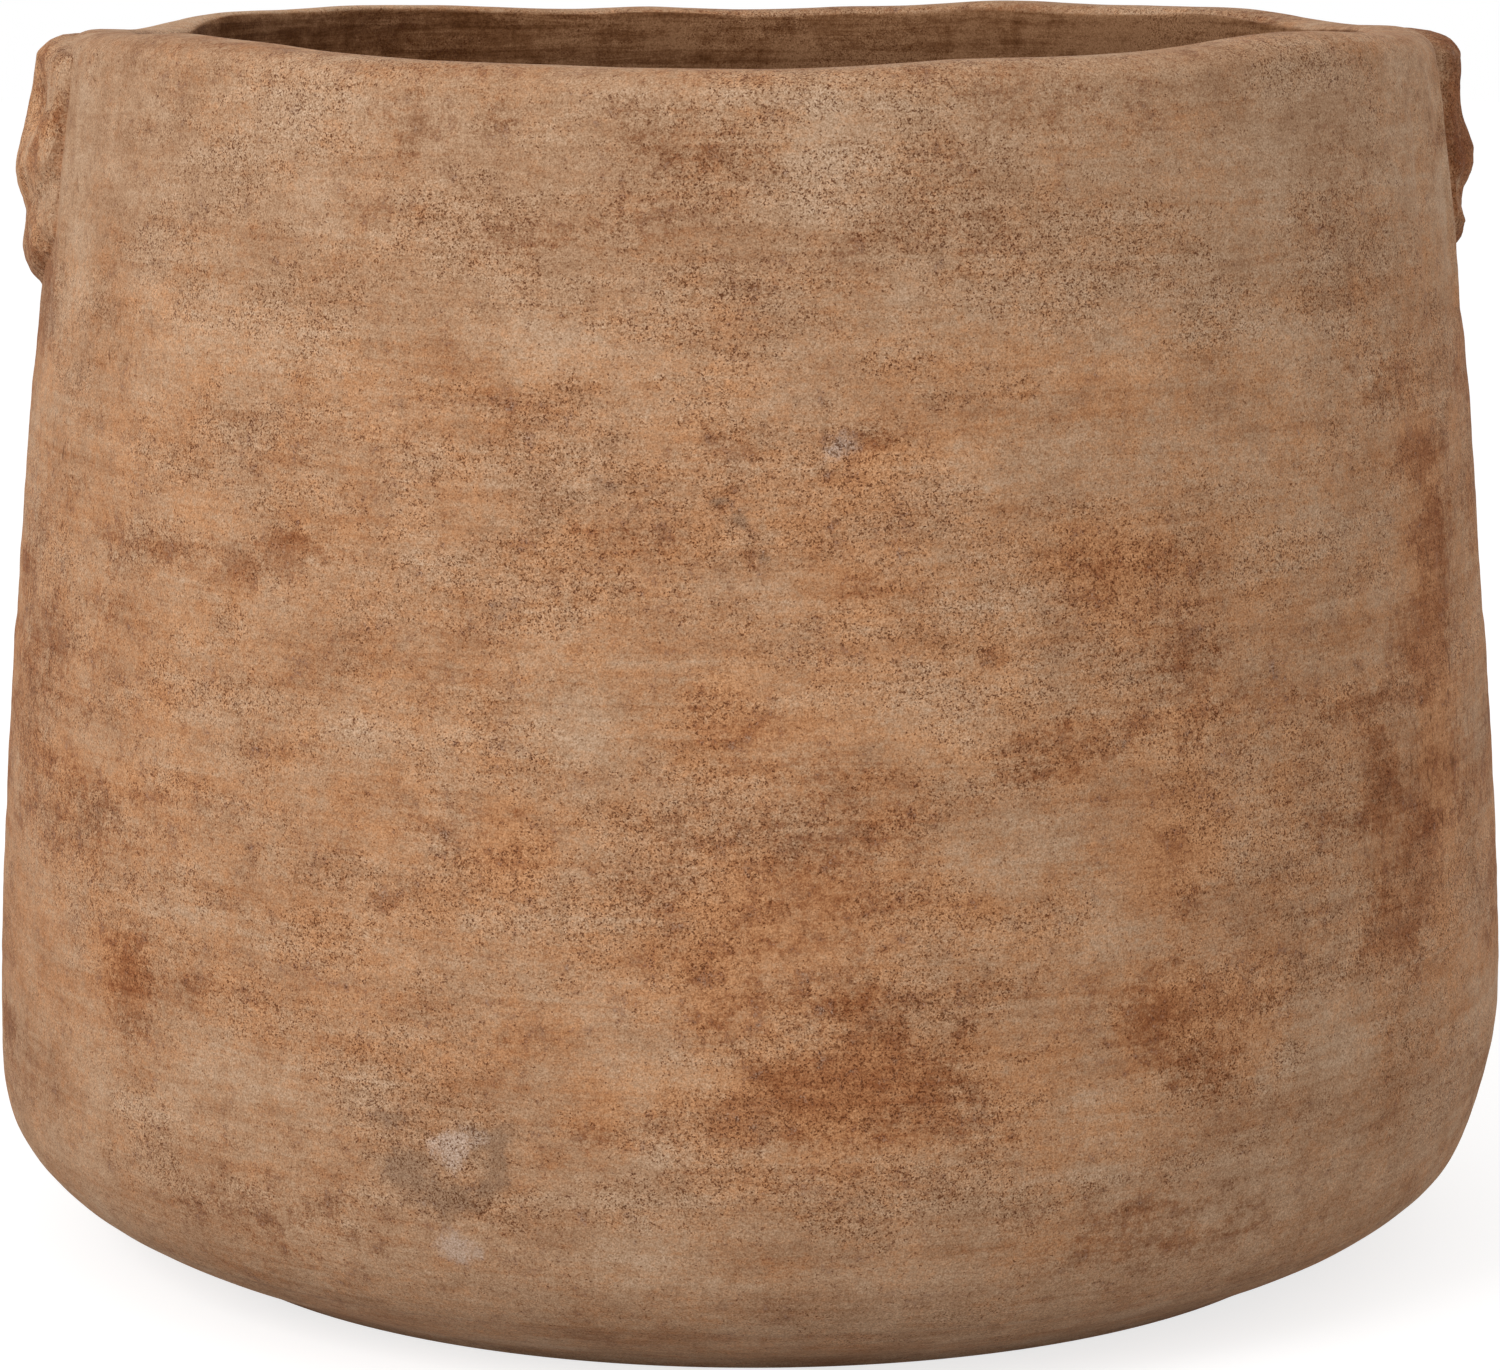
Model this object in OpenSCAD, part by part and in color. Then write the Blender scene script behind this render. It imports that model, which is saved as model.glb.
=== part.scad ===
// Hand-built terracotta planter: a floor slab, stacked wall rings, a rolled rim and two pinched lugs.
// The axis of the pot is Z and the ground is Z = 0. The front is -Y, and the lugs lie near the X axis.
// An azimuth is an angle about Z in degrees, 0 at the front and 90 at +X.

/* [Pot] */
// Height of the rim above the ground, at the middle of its waves
pot_h = 377.5; // [370:0.5:390]
// Outer radius at the widest part of the belly
belly_r = 240; // [236:1:246]
// Height of the widest part of the belly
belly_z = 79; // [74:1:86]
// Outer radius of the wall at the rim
rim_r = 213; // [208:0.5:218]
// Radius of the flat that the pot stands on
base_r = 185; // [180:1:190]
// Power of the wall's inward curve, where a higher one stays upright for longer
wall_power = 1.4; // [1.2:0.05:1.8]

/* [Corner under the belly] */
// Reach of the curve where it leaves the flat
bevel_reach = 40; // [34:1:44]
// Slope of the bevel where it leaves the flat, in degrees
bevel_angle = 30; // [24:1:34]
// Reach of the curve where it comes down from the belly
belly_reach = 57; // [50:1:60]

/* [Clay] */
// Wall thickness at the belly
belly_t = 25; // [22:1:28]
// Wall thickness under the rim
neck_t = 19; // [17:1:22]
// Thickness of the floor slab
floor_t = 22; // [18:1:26]
// Radius of the clay pressed into the inside corner
corner_r = 40; // [30:1:46]
// Radius of the drain hole
drain_r = 15; // [8:0.5:20]

/* [Wall rings] */
// Height of the foot ring's top
foot_top = 118; // [110:1:126]
// Height of the belly ring's top
belly_top = 196; // [188:1:204]
// Height of the middle ring's top
middle_top = 274; // [266:1:282]
// Height of the upper ring's top, which carries the rim roll
upper_top = 340; // [334:1:346]
// Radius of the finger-drawn key in each joint
key_r = 4; // [2:0.5:6]
// Room for slip around a key
slip = 0.1; // [0.05:0.05:0.3]

/* [Rim roll] */
// Drop of the rounding on the outside of the crest
round_out_h = 7; // [5:0.5:9]
// Reach of that rounding, from the outside of the wall to the crest
round_out_w = 9; // [7:0.5:10]
// Drop of the rounding on the inside of the crest
round_in_h = 9; // [7:0.5:11]
// Thickness of the lip, which stands a little into the pot
lip_t = 22; // [20:0.5:24]

/* [Lugs] */
// Azimuth of the left lug
left_azimuth = -83; // [-95:1:-75]
// Azimuth of the right lug
right_azimuth = 97; // [85:1:105]
// Width of a lug along the wall
lug_w = 95; // [80:1:110]
// Thickness at the feathered edge of a lug
lug_edge_t = 0.8; // [0.5:0.1:1.5]
// Power of a lug's cross-section, where a lower one is squarer
lug_power = 0.6; // [0.4:0.05:1]
// Share of its width that a lug loses towards its lower end
lug_taper = 0.45; // [0:0.05:0.6]

/* [Hidden] */
$fn = 180;
clay = [0.72, 0.53, 0.38];
smooth_clay = [0.75, 0.58, 0.44];
rough_clay = [0.62, 0.41, 0.27];
// Points along the corner curve, the wall and the inside corner
corner_steps = 16;
wall_steps = 18;
inside_steps = 8;
// Sweep of the inside corner's arc, which stops short of a knife edge on the floor
inside_sweep = 78;
// Sections round the rim roll, and points over each rounding of its crest
rim_steps = 144;
round_steps = 4;
// Columns across a lug, and how late it narrows on its way down
lug_steps = 14;
lug_taper_power = 4;
// Hand-pressed high spots of the rim: azimuth, height and spread
rim_low = -1.5;
rim_waves = [
    [50, 7, 26], [92, 2.6, 14], [132, 3, 20], [155, 3, 10],
    [-52, 6.6, 22], [-85, 2.4, 14], [-130, 3.6, 18]
];
// Finger folds of each lug: depth under the crest, and how far it stands out from the wall there
left_folds = [
    [1.5, 8], [3, 10.6], [7, 12.6], [24, 13.6], [36, 14.8], [41, 14.8], [45, 13], [50, 10.2],
    [55, 9.3], [61, 9.6], [66, 9], [70, 6.6], [74, 3], [78, 0]
];
right_folds = [
    [1.5, 8], [3, 10.2], [7, 12], [20, 11.6], [31, 12.4], [37, 12.7], [40, 11.6], [44, 8],
    [48, 6.9], [52, 6.6], [56, 6.8], [60, 7], [63, 4], [66.5, 0]
];

// Outside and inside of the wall from the belly up
function wall_share(z) = max(0, z - belly_z) / (pot_h - belly_z);
function wall_r(z) = belly_r - (belly_r - rim_r) * pow(wall_share(z), wall_power);
function wall_t(z) = belly_t + (neck_t - belly_t) * wall_share(z);
function inner_r(z) = wall_r(z) - wall_t(z);
function middle_r(z) = (wall_r(z) + inner_r(z)) / 2;

// Cubic curve from the edge of the flat, at t = 0, to the belly, at t = 1
bevel_handle = [base_r + bevel_reach * cos(bevel_angle), bevel_reach * sin(bevel_angle)];
belly_handle = [belly_r, belly_z - belly_reach];
function corner_point(t) =
    pow(1 - t, 3) * [base_r, 0]
    + 3 * pow(1 - t, 2) * t * bevel_handle
    + 3 * (1 - t) * pow(t, 2) * belly_handle
    + pow(t, 3) * [belly_r, belly_z];

// Outline of the clay in section, from the ground up the outside, over the top and down the inside
corner_line = [for (i = [0:corner_steps]) corner_point(i / corner_steps)];
wall_zs = [for (i = [1:wall_steps]) belly_z + (pot_h - belly_z) * i / wall_steps];
outer_line = [for (z = wall_zs) [wall_r(z), z]];
inner_line = [for (i = [wall_steps - 1:-1:0]) [inner_r(wall_zs[i]), wall_zs[i]]];
inside_foot_r = inner_r(belly_z) - corner_r;
inside_line = [
    for (i = [0:inside_steps])
        let (a = inside_sweep * i / inside_steps)
        [inside_foot_r + corner_r * cos(a), floor_t + corner_r * (1 - sin(a))]
];
inside_edge = [inside_foot_r + corner_r * cos(inside_sweep), floor_t];

// Crest of the rim, and the outside of the pot at a depth under it
function sum(list) = list * [for (x = list) 1];
function turn(a) = a - 360 * round(a / 360);
function rim_wave(azimuth) =
    rim_low + sum([for (w = rim_waves) w[1] * exp(-pow(turn(azimuth - w[0]) / w[2], 2))]);
function crest_z(azimuth) = pot_h + rim_wave(azimuth);
function round_cut(d) =
    d >= round_out_h ? 0 : round_out_w * (1 - sqrt(1 - pow((round_out_h - d) / round_out_h, 2)));
function outside_r(azimuth, d) = wall_r(crest_z(azimuth) - d) - round_cut(d);
function at(azimuth, r, z) = [r * sin(azimuth), -r * cos(azimuth), z];

// Two triangles for each cell of a grid of points with the given number of rows, wrapped both ways
function grid_faces(columns, rows) = [
    for (c = [0:columns - 1], i = [0:rows - 1])
        let (
            next_c = (c + 1) % columns,
            next_i = (i + 1) % rows,
            p = c * rows + i,
            q = c * rows + next_i,
            s = next_c * rows + next_i,
            t = next_c * rows + i
        )
        each [[p, q, s], [p, s, t]]
];

// Triangles that close a column of points, which runs down the given number of rows and back up
function strip_faces(rows) = [
    for (i = [0:rows - 2])
        let (back = 2 * rows - 1 - i)
        each [[i, back, i + 1], [i + 1, back, back - 1]]
];

module clay_section() {
    polygon(concat([[0, 0]], corner_line, outer_line, inner_line, inside_line, [inside_edge, [0, floor_t]]));
}

module band(low, high) {
    translate([0, low])
        square([2 * belly_r, high - low]);
}

module key(r, z, room = 0) {
    translate([r, z])
        circle(key_r + room);
}

// Wall ring with a bead under it that keys into a groove in the ring or slab below
module ring(low, high, bead_r, groove_r = 0) {
    rotate_extrude()
        difference() {
            union() {
                intersection() {
                    clay_section();
                    band(low, high);
                }
                key(bead_r, low);
            }
            if (groove_r > 0)
                key(groove_r, high, slip);
        }
}

// The foot ring's key lies under the middle of the clay in the inside corner
foot_key_r = inside_foot_r + corner_r / 2;

module floor_slab() {
    color(clay)
        difference() {
            rotate_extrude()
                difference() {
                    intersection() {
                        clay_section();
                        band(0, floor_t);
                    }
                    key(foot_key_r, floor_t, slip);
                }
            translate([0, 0, -floor_t])
                cylinder(r = drain_r, h = 3 * floor_t);
        }
}

module foot_ring() {
    color(clay)
        ring(floor_t, foot_top, foot_key_r, middle_r(foot_top));
}

module belly_ring() {
    color(clay)
        ring(foot_top, belly_top, middle_r(foot_top), middle_r(belly_top));
}

module middle_ring() {
    color(clay)
        ring(belly_top, middle_top, middle_r(belly_top), middle_r(middle_top));
}

module upper_ring() {
    color(clay)
        ring(middle_top, upper_top, middle_r(middle_top));
}

// Section of the rim roll at an azimuth, up the outside, over the crest and down the inside
function rim_section(azimuth) =
    let (
        crest = crest_z(azimuth),
        crest_r = outside_r(azimuth, 0),
        lip_r = wall_r(crest) - lip_t,
        lip_low = (upper_top + crest - round_in_h) / 2
    )
    concat(
        [for (i = [0:2]) let (z = upper_top + (crest - round_out_h - upper_top) * i / 3) [wall_r(z), z]],
        [
            for (i = [0:round_steps])
                let (d = round_out_h * (1 - sin(90 * i / round_steps)))
                [outside_r(azimuth, d), crest - d]
        ],
        [
            for (i = [1:round_steps])
                let (a = 90 * i / round_steps)
                [lip_r + (crest_r - lip_r) * cos(a), crest - round_in_h * (1 - sin(90 - a))]
        ],
        [[lip_r, lip_low], [inner_r(upper_top), upper_top]]
    );

module rim_roll() {
    sections = [for (c = [0:rim_steps - 1]) rim_section(360 * c / rim_steps)];
    points = [
        for (c = [0:rim_steps - 1])
            for (p = sections[c])
                at(360 * c / rim_steps, p[0], p[1])
    ];
    color(smooth_clay)
        polyhedron(points, grid_faces(rim_steps, len(sections[0])), convexity = 6);
}

// A pinched ear of clay on the wall: its back follows the wall, its face follows the finger folds
module lug(azimuth, folds) {
    rows = len(folds);
    column = 2 * rows;
    half_angle = lug_w / 2 / wall_r(pot_h) * 180 / PI;
    function narrowed(d) = 1 - lug_taper * pow(d / folds[rows - 1][0], lug_taper_power);
    // Each column runs down the face and back up the wall
    points = [
        for (c = [0:lug_steps], i = [0:column - 1])
            let (
                u = 2 * c / lug_steps - 1,
                fold = folds[i < rows ? i : column - 1 - i],
                a = azimuth + half_angle * u * narrowed(fold[0]),
                face = i < rows ? lug_edge_t + fold[1] * pow(cos(90 * u), lug_power) : 0
            )
            at(a, outside_r(a, fold[0]) + slip + face, crest_z(a) - fold[0])
    ];
    // The grid's faces from the last column back to the first are left out, and two ends close the lug
    skin = [for (f = grid_faces(lug_steps + 1, column)) if (max(f) - min(f) < 2 * column) f];
    first_end = strip_faces(rows);
    last_end = [for (f = first_end) [for (i = [2:-1:0]) f[i] + lug_steps * column]];
    polyhedron(points, concat(skin, first_end, last_end), convexity = 6);
}

module left_lug() {
    color(rough_clay)
        lug(left_azimuth, left_folds);
}

module right_lug() {
    color(rough_clay)
        lug(right_azimuth, right_folds);
}

floor_slab();
foot_ring();
belly_ring();
middle_ring();
upper_ring();
rim_roll();
left_lug();
right_lug();
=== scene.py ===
import math

import bpy
import numpy as np
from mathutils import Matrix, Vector


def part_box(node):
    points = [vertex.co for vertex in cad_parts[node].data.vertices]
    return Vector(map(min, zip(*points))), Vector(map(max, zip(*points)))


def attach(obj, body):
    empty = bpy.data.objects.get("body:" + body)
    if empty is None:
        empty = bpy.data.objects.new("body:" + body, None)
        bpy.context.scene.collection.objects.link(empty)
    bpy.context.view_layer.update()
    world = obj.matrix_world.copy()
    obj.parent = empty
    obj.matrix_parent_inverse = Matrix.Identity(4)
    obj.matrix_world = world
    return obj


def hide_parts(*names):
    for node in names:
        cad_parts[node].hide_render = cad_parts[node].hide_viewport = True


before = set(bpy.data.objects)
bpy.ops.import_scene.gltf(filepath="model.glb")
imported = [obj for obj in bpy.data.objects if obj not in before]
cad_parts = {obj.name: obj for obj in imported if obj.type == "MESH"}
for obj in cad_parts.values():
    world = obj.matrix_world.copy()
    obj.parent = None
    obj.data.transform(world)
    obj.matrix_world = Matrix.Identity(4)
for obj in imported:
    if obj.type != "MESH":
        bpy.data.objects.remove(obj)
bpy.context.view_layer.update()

# Lengths are in millimetres, and MM turns them into metres where a mesh, a texture or the camera is made.
# An azimuth is an angle about Z in degrees, 0 at the front (-Y) and 90 at +X.
MM = 0.001


def top_of(node):
    """Height of a node's top in the frame."""
    return round(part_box(node)[1].z / MM, 1)


# Joint heights come from the frame, and the wall's formulas repeat those of the part
WALL_NODES = ["floor_slab", "foot_ring", "belly_ring", "middle_ring", "upper_ring"]
FLOOR_T, FOOT_TOP, BELLY_TOP, MIDDLE_TOP, UPPER_TOP = (top_of(node) for node in WALL_NODES)
JOINT_HEIGHTS = [0, FLOOR_T, FOOT_TOP, BELLY_TOP, MIDDLE_TOP, UPPER_TOP]
# Pot: height, radius and height of its belly, radii of rim and flat base, and the power of its wall's curve
POT_H = 377.5
BELLY_R = round(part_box("foot_ring")[1].x / MM, 1)
BELLY_Z = 79
RIM_R = 213
BASE_R = 185
WALL_POWER = 1.4
# Corner under the belly: reach and slope where it leaves the flat, and reach down from the belly
BEVEL_REACH = 40
BEVEL_ANGLE = math.radians(30)
BELLY_REACH = 57
# Clay: thickness at the belly and under the rim, inside corner, drain hole, and a joint's key with its slip
BELLY_T = 25
NECK_T = 19
CORNER_R = 40
CORNER_SWEEP = math.radians(78)
DRAIN_R = 15
KEY_R = 4
SLIP = 0.1
# Rim roll: drop and reach of its rounding outside, drop inside, thickness and squareness of the lip
ROUND_OUT_H = 7
ROUND_OUT_W = 9
ROUND_IN_H = 9
LIP_T = 22
LIP_SQUARE = 6
# How much thinner the lip is at the back on the left, how much higher the dark inside, darker clay with
# painted shade, begins there, and the azimuths between which that sets in and fades out
LIP_THINNED = 7
DARK_RAISED = 0.7
THIN_START = (-107, -117)
THIN_END = (-165, -140)
# The rim's level between its high spots, and those spots: azimuth, height and spread in degrees
RIM_LOW = -1.5
RIM_WAVES = [
    (50, 7, 26), (92, 2.6, 14), (132, 3, 20), (155, 3, 10), (-52, 6.6, 22), (-85, 2.4, 14), (-130, 3.6, 18),
]

# Mesh density: columns round the pot, and row spacing outside, inside, over the lip and on the floor
COLUMNS = 864
OUTER_STEP = 1.75
INNER_STEP = 3.6
LIP_STEP = 0.8
FLOOR_STEP = 5
# Rows over the rim's outer rounding, over a joint's key, down the drain hole and across the base
ROUND_ROWS = 9
KEY_ROWS = 7
DRAIN_ROWS = 7
BASE_ROWS = 24
# Points at which the corner, a wall and the lip are worked out before their rows are spaced evenly
CORNER_POINTS = 400
WALL_POINTS = 500
LIP_POINTS = 300


# Noise

# Size of the noise's tables, its strength, and how far apart two seeds lie in it
TABLE = 256
NOISE_GAIN = 1.6
SEED_SHIFT = 7.31

rng = np.random.default_rng(20)
SHUFFLE = rng.permutation(TABLE)
GRADIENTS = rng.normal(size=(TABLE, 3))
GRADIENTS /= np.linalg.norm(GRADIENTS, axis=1, keepdims=True)


def noise(points, size, seed=0.0):
    """Gradient noise of about -1 to 1. The size of its cells is one number, or one for each axis."""
    place = points / np.asarray(size, float) + SEED_SHIFT * seed
    cell = np.floor(place).astype(int)
    part = place - cell
    ease = part**3 * (part * (part * 6 - 15) + 10)
    total = np.zeros(points.shape[:-1])
    for corner in np.ndindex(2, 2, 2):
        x, y, z = np.moveaxis(cell + corner, -1, 0)
        pick = SHUFFLE[(SHUFFLE[(SHUFFLE[x % TABLE] + y) % TABLE] + z) % TABLE]
        slope = ((part - corner) * GRADIENTS[pick]).sum(-1)
        total += slope * np.where(corner, ease, 1 - ease).prod(-1)
    return NOISE_GAIN * total


def layered(points, layers):
    """Sum of layers of noise, each given as its height, cell size and seed."""
    return sum(height * noise(points, size, seed) for height, size, seed in layers)


def cloud(points, size, seed=0.0, octaves=3):
    """Noise with finer and weaker octaves on top."""
    size = np.asarray(size, float)
    return sum(noise(points, size / 2**i, seed + i) / 2**i for i in range(octaves))


def smooth(low, high, value):
    """Smooth step from 0 at low to 1 at high, where low may be the greater one."""
    share = np.clip((value - low) / (high - low), 0, 1)
    return share * share * (3 - 2 * share)


def bell(value, middle, width):
    """Bell curve with a height of 1."""
    return np.exp(-(((value - middle) / width) ** 2))


def turn(angle):
    """The same angle between -180 and 180 degrees."""
    return angle - 360 * np.round(angle / 360)


# Section of the pot

def wall_share(z):
    """Share of the way up the wall, from 0 at the belly to 1 at the rim."""
    return np.maximum(0, z - BELLY_Z) / (POT_H - BELLY_Z)


def wall_r(z):
    """Outside of the wall from the belly up."""
    return BELLY_R - (BELLY_R - RIM_R) * wall_share(z) ** WALL_POWER


def inner_r(z):
    """Inside of the wall."""
    return wall_r(z) - BELLY_T - (NECK_T - BELLY_T) * wall_share(z)


def bezier(points, t):
    """Cubic curve along its four points."""
    a, b, c, d = points
    return (1 - t) ** 3 * a + 3 * (1 - t) ** 2 * t * b + 3 * (1 - t) * t**2 * c + t**3 * d


def outer_r(z):
    """Outside of the pot at any height under the rim's rounding."""
    t = np.linspace(0, 1, CORNER_POINTS)
    corner_r = bezier((BASE_R, BASE_R + BEVEL_REACH * math.cos(BEVEL_ANGLE), BELLY_R, BELLY_R), t)
    corner_z = bezier((0, BEVEL_REACH * math.sin(BEVEL_ANGLE), BELLY_Z - BELLY_REACH, BELLY_Z), t)
    return np.where(z < BELLY_Z, np.interp(z, corner_z, corner_r), wall_r(z))


def crest_z(azimuth):
    """Height of the wavy rim."""
    waves = sum(height * bell(turn(azimuth - middle), 0, spread) for middle, height, spread in RIM_WAVES)
    return POT_H + RIM_LOW + waves


def outside_r(azimuth, depth):
    """Outside of the pot at a depth under the crest, with the crest's rounding."""
    share = np.clip((ROUND_OUT_H - depth) / ROUND_OUT_H, 0, 1)
    return wall_r(crest_z(azimuth) - depth) - ROUND_OUT_W * (1 - np.sqrt(1 - share**2))


def spaced(r, z, step):
    """Points of a line, evenly spaced along it."""
    length = np.concatenate([[0], np.cumsum(np.hypot(np.diff(r), np.diff(z)))])
    marks = np.linspace(0, length[-1], max(2, round(length[-1] / step) + 1))
    return np.interp(marks, length, r), np.interp(marks, length, z)


def even_rows(radius_at, low, high, step):
    """Radii and heights from low to high on a section line, evenly spaced along it."""
    z = np.linspace(low, high, WALL_POINTS)
    return spaced(radius_at(z), z, step)


def lip_rounding():
    """Points from the crest, (0, 0), to the foot of the lip's rounding: steps in and down, flat on top."""
    angles = np.linspace(0, math.pi / 2, LIP_POINTS)
    inwards = (LIP_T - ROUND_OUT_W) * np.sin(angles) ** (2 / LIP_SQUARE)
    down = ROUND_IN_H * (1 - np.cos(angles) ** (2 / LIP_SQUARE))
    return list(zip(*spaced(inwards, down, LIP_STEP)))


def even_steps(length, step):
    """Shares from 0 to 1 in equal steps of about the given length."""
    return np.linspace(0, 1, round(length / step) + 1)


AZIMUTHS = np.arange(COLUMNS) * 360 / COLUMNS - 180


def thin_lip(azimuth):
    """1 where the lip is thinned, at the back on the left, and 0 round the rest of the rim."""
    return smooth(*THIN_START, azimuth) * smooth(*THIN_END, azimuth)


def rim_rows():
    """Rows of the rim from its outer joint over the crest to its inner joint, one column per azimuth."""
    crest = crest_z(AZIMUTHS)
    crest_r = outside_r(AZIMUTHS, 0)
    lip_t = LIP_T - LIP_THINNED * thin_lip(AZIMUTHS)
    lip_r = wall_r(crest) - lip_t
    lip_share = (lip_t - ROUND_OUT_W) / (LIP_T - ROUND_OUT_W)
    rows = []
    for share in even_steps(crest.mean() - ROUND_OUT_H - UPPER_TOP, OUTER_STEP)[:-1]:
        z = UPPER_TOP + (crest - ROUND_OUT_H - UPPER_TOP) * share
        rows.append((wall_r(z), z))
    for angle in np.linspace(0, math.pi / 2, ROUND_ROWS):
        depth = ROUND_OUT_H * (1 - math.sin(angle))
        rows.append((outside_r(AZIMUTHS, depth), crest - depth))
    for inwards, down in lip_rounding()[1:]:
        rows.append((crest_r - inwards * lip_share, crest - down))
    lip_low = crest - ROUND_IN_H
    for share in even_steps(lip_low.mean() - UPPER_TOP, INNER_STEP)[1:]:
        ease = float(smooth(0, 1, share))
        rows.append((lip_r + (inner_r(UPPER_TOP) - lip_r) * ease, lip_low + (UPPER_TOP - lip_low) * share))
    return rows


def inside_corner():
    """Radii and heights of the clay pressed into the inside corner, down to the floor."""
    foot_r = inner_r(BELLY_Z) - CORNER_R
    angles = CORNER_SWEEP * even_steps(CORNER_R * CORNER_SWEEP, INNER_STEP)
    r = foot_r + CORNER_R * np.cos(angles)
    z = FLOOR_T + CORNER_R * (1 - np.sin(angles))
    return np.append(r, r[-1]), np.append(z, FLOOR_T)


def pot_skin():
    """One grid of radii and heights over the whole pot, from the ground up the outside to the drain hole.
    Also gives the rows at which each stretch of it begins and ends."""
    stretches = {}
    rows = []

    def add(name, new_rows):
        # Neighbouring stretches share a row
        start = len(rows) - 1 if rows else 0
        rows.extend(new_rows[1:] if rows else new_rows)
        stretches[name] = slice(start, len(rows))

    spans = list(zip(WALL_NODES, JOINT_HEIGHTS, JOINT_HEIGHTS[1:]))
    for name, low, high in spans:
        add(name + "_out", list(zip(*even_rows(outer_r, low, high, OUTER_STEP))))
    add("rim_roll", rim_rows())
    for name, low, high in reversed(spans[2:]):
        add(name + "_in", list(zip(*even_rows(inner_r, high, low, INNER_STEP))))
    wall_r_in, wall_z_in = even_rows(inner_r, FOOT_TOP, FLOOR_T + CORNER_R, INNER_STEP)
    corner_r, corner_z = inside_corner()
    foot_r = np.append(wall_r_in, corner_r[1:])
    foot_z = np.append(wall_z_in, corner_z[1:])
    add("foot_ring_in", list(zip(foot_r, foot_z)))
    floor_rs = np.linspace(corner_r[-1], DRAIN_R, round((corner_r[-1] - DRAIN_R) / FLOOR_STEP) + 1)
    add("floor_slab_in", [(r, FLOOR_T) for r in floor_rs])
    radius = np.array([np.broadcast_to(r, COLUMNS) for r, z in rows])
    height = np.array([np.broadcast_to(z, COLUMNS) for r, z in rows])
    return radius, height, stretches


def at(azimuth, radius, height):
    """Points round the pot's axis."""
    angle = np.radians(azimuth)
    return np.stack(np.broadcast_arrays(radius * np.sin(angle), -radius * np.cos(angle), height), axis=-1)


def grid_normals(points, closed=True):
    """Outward normals of a grid of points whose columns run round the pot, all the way if it is closed."""
    if closed:
        along = np.roll(points, -1, axis=1) - np.roll(points, 1, axis=1)
    else:
        along = np.gradient(points, axis=1)
    normal = np.cross(along, np.gradient(points, axis=0))
    return normal / np.linalg.norm(normal, axis=-1, keepdims=True)


# Relief of the clay

# Unevenness outside, and finger ridges and lumps inside, in layers of noise
OUTER_LAYERS = [
    (0.5, 110, 0), (0.25, 45, 3), (0.1, 14, 5), (0.16, (120, 120, 9), 7), (0.1, (60, 60, 4.5), 9),
]
INNER_LAYERS = [(0.7, 90, 15), (0.5, (160, 160, 15), 17), (0.2, 12, 19)]
# Height over which the relief fades in from the ground, and distance over which it does from the drain hole
GROUND_FADE = 12
DRAIN_FADE = 12
# Small steps where the coils of wall were joined: height, size and reach, then their bends and their softness
COIL_STEPS = [(FOOT_TOP, 0.3, 20), (BELLY_TOP, 0.8, 26), (MIDDLE_TOP, 0.3, 20)]
COIL_BENDS = [(2.5, 90, 11)]
COIL_SOFT = 2.5
# How far the foot leans to the left, at which heights and over which reach
LEANS = [(2.6, 42, 20), (-1, 4, 9)]
# How far the foot swells, at which height and over which reach
SWELL, SWELL_Z, SWELL_REACH = 1.2, 26, 18
# Upright ridges and creases beside the lugs: azimuth, width along the wall, lower and upper end, height
UPRIGHTS = [
    (66.5, 4, 295, 362, -1.2), (71, 6, 300, 366, 0.5), (77, 6, 296, 372, 1.4), (-71, 6, 296, 358, 0.8),
    (-66, 5, 300, 350, -0.4), (-61, 7, 290, 345, 0.3), (88, 34, 296, 314, -2.4),
]
# How they bend, and how softly they begin at the lower end and stop at the upper one
UPRIGHT_BENDS = [(2, (200, 200, 40), 13)]
UPRIGHT_SOFT_LOW = 12
UPRIGHT_SOFT_HIGH = 6
# Lumps on the crest of the rim: azimuth, height and spread in degrees
CREST_LUMPS = [
    (-170, 1.2, 6), (170, 1, 6), (138, 0.9, 9), (125, 1.5, 8), (-41, -1.4, 9), (-19, 0.5, 6), (17, 1.2, 7),
    (37, -1.4, 9), (-51, -0.8, 5), (-106, -0.8, 6), (-119, 0.5, 5), (-131, -0.6, 6), (-150, 1.1, 12),
]
# Depth under the crest to which they reach
LUMP_DEPTH = 25
# Pits, chips and cracks, which also get painted shade in the tone: azimuth, height, half width, half height
# and depth
MARKS = [
    (7, 273.5, 4.5, 3.2, 0.7), (8.2, 275, 2, 1.6, 0.6), (-70, 255, 1.2, 8, 0.8), (-62.5, 255, 1.2, 6, 0.8),
    (-57.5, 252, 1.2, 3, 0.6), (-53, 292, 2, 2, 0.6), (-54.5, 288, 1.6, 2.4, 0.6), (-51, 296, 1.6, 1.6, 0.5),
    (-14, 268, 2.4, 1.6, 0.5), (-14.5, 261, 2.2, 1.4, 0.5), (-12, 260, 3, 1.4, 0.5), (-2, 259, 1.8, 1.8, 1),
    (-1, 253, 1.6, 2.2, 1.1), (0, 245, 1.8, 2, 1.3), (67.5, 241, 1.6, 4, 0.7), (70, 209, 1.6, 5, 0.7),
    (62.5, 190, 1.8, 4, 0.6), (64, 222, 1.6, 4, 0.6), (-44, 55, 4, 1.4, 0.7), (-20, 35, 2.4, 1.6, 0.6),
    (1.5, 35, 5, 1.2, 0.6),
]


def along_wall(azimuth, middle):
    """Length along the wall from an azimuth, about the middle of the pot's height."""
    return np.radians(turn(azimuth - middle)) * (BELLY_R + RIM_R) / 2


def marks_at(azimuth, height):
    """Depth of the marks."""
    total = np.zeros(height.shape)
    for middle, z, half_w, half_h, depth in MARKS:
        total += depth * np.exp(-((along_wall(azimuth, middle) / half_w) ** 2) - ((height - z) / half_h) ** 2)
    return total


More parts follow.
